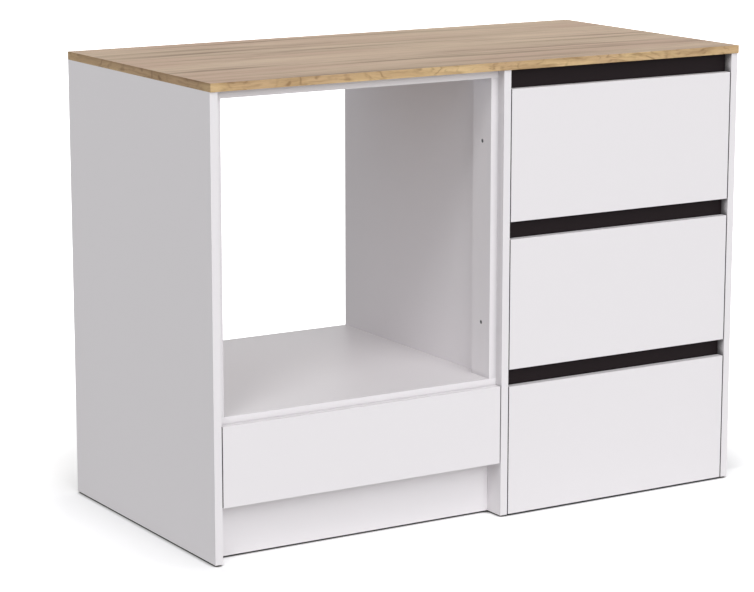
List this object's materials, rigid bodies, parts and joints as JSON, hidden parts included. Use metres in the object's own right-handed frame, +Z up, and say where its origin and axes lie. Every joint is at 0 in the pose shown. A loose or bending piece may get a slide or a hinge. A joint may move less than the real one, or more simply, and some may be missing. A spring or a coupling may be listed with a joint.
{
  "type": "kitchen appliance stand with drawers",
  "caption": "Kitchen base unit: open-backed appliance niche above a low drawer, beside a bank of flush drawers with recessed black grip rails, under an oak-look worktop.",
  "frame": {"origin": "on the floor, at the middle of the overall width and depth", "axes": "+Z up, +X to the right seen from the front, drawer fronts face -Y and pull out along -Y"},
  "size_m": [1.2, 0.6, 0.9],
  "materials": {
    "white_board": "white melamine-faced particle board, satin",
    "black_board": "black melamine-faced particle board, smooth satin",
    "oak_top": "pale oak-look laminate, long grain along the width, matt",
    "oak_edge": "oak-look edge band, matt",
    "white_hardboard": "thin hardboard, painted white",
    "white_plastic": "moulded white plastic",
    "zinc_steel": "bright zinc-plated steel",
    "beech": "plain beech"
  },
  "bodies": {
    "carcass": {"worktop": "oak_top", "worktop_edging": "oak_edge", "left_panel": "white_board", "divider_panel": "white_board", "right_panel": "white_board", "niche_shelf": "white_board", "niche_floor": "white_board", "bank_floor": "white_board", "plinth": "white_board", "niche_front_rail": "white_board", "niche_rear_rail": "white_board", "bank_rear_rail": "white_board", "niche_batten_left": "white_board", "niche_batten_right": "white_board", "top_grip_rail": "black_board", "centre_grip_rail": "black_board", "bottom_grip_rail": "black_board", "bank_back": "white_hardboard", "niche_drawer_bay_back": "white_hardboard", "rail_blocks": "white_plastic", "worktop_blocks": "white_plastic", "glides": "white_plastic", "cam_locks": "zinc_steel", "cam_bolts": "zinc_steel", "batten_screws": "zinc_steel", "dowels": "beech", "top_cabinet_runners": "zinc_steel", "centre_cabinet_runners": "zinc_steel", "bottom_cabinet_runners": "zinc_steel", "niche_cabinet_runners": "zinc_steel"},
    "top_drawer": {"top_drawer_front": "white_board", "top_drawer_left_side": "white_board", "top_drawer_right_side": "white_board", "top_drawer_back": "white_board", "top_drawer_bottom": "white_hardboard", "top_drawer_runners": "zinc_steel"},
    "top_telescope": {"top_telescope_runners": "zinc_steel"},
    "centre_drawer": {"centre_drawer_front": "white_board", "centre_drawer_left_side": "white_board", "centre_drawer_right_side": "white_board", "centre_drawer_back": "white_board", "centre_drawer_bottom": "white_hardboard", "centre_drawer_runners": "zinc_steel"},
    "centre_telescope": {"centre_telescope_runners": "zinc_steel"},
    "bottom_drawer": {"bottom_drawer_front": "white_board", "bottom_drawer_left_side": "white_board", "bottom_drawer_right_side": "white_board", "bottom_drawer_back": "white_board", "bottom_drawer_bottom": "white_hardboard", "bottom_drawer_runners": "zinc_steel"},
    "bottom_telescope": {"bottom_telescope_runners": "zinc_steel"},
    "niche_drawer": {"niche_drawer_front": "white_board", "niche_drawer_left_side": "white_board", "niche_drawer_right_side": "white_board", "niche_drawer_back": "white_board", "niche_drawer_bottom": "white_hardboard", "niche_drawer_runners": "zinc_steel"},
    "niche_telescope": {"niche_telescope_runners": "zinc_steel"}
  },
  "joints": [
    {"name": "top_drawer_slide", "type": "slide", "parent": "carcass", "child": "top_drawer", "axis": [0, -1, 0], "range_m": [0, 0.5]},
    {"name": "top_telescope_slide", "type": "slide", "parent": "carcass", "child": "top_telescope", "axis": [0, -1, 0], "range_m": [0, 0.25]},
    {"name": "centre_drawer_slide", "type": "slide", "parent": "carcass", "child": "centre_drawer", "axis": [0, -1, 0], "range_m": [0, 0.5]},
    {"name": "centre_telescope_slide", "type": "slide", "parent": "carcass", "child": "centre_telescope", "axis": [0, -1, 0], "range_m": [0, 0.25]},
    {"name": "bottom_drawer_slide", "type": "slide", "parent": "carcass", "child": "bottom_drawer", "axis": [0, -1, 0], "range_m": [0, 0.5]},
    {"name": "bottom_telescope_slide", "type": "slide", "parent": "carcass", "child": "bottom_telescope", "axis": [0, -1, 0], "range_m": [0, 0.25]},
    {"name": "niche_drawer_slide", "type": "slide", "parent": "carcass", "child": "niche_drawer", "axis": [0, -1, 0], "range_m": [0, 0.5]},
    {"name": "niche_telescope_slide", "type": "slide", "parent": "carcass", "child": "niche_telescope", "axis": [0, -1, 0], "range_m": [0, 0.25]}
  ],
  "couplings": [
    {"joint": "top_telescope_slide", "follows": "top_drawer_slide", "ratio": 0.5},
    {"joint": "centre_telescope_slide", "follows": "centre_drawer_slide", "ratio": 0.5},
    {"joint": "bottom_telescope_slide", "follows": "bottom_drawer_slide", "ratio": 0.5},
    {"joint": "niche_telescope_slide", "follows": "niche_drawer_slide", "ratio": 0.5}
  ]
}
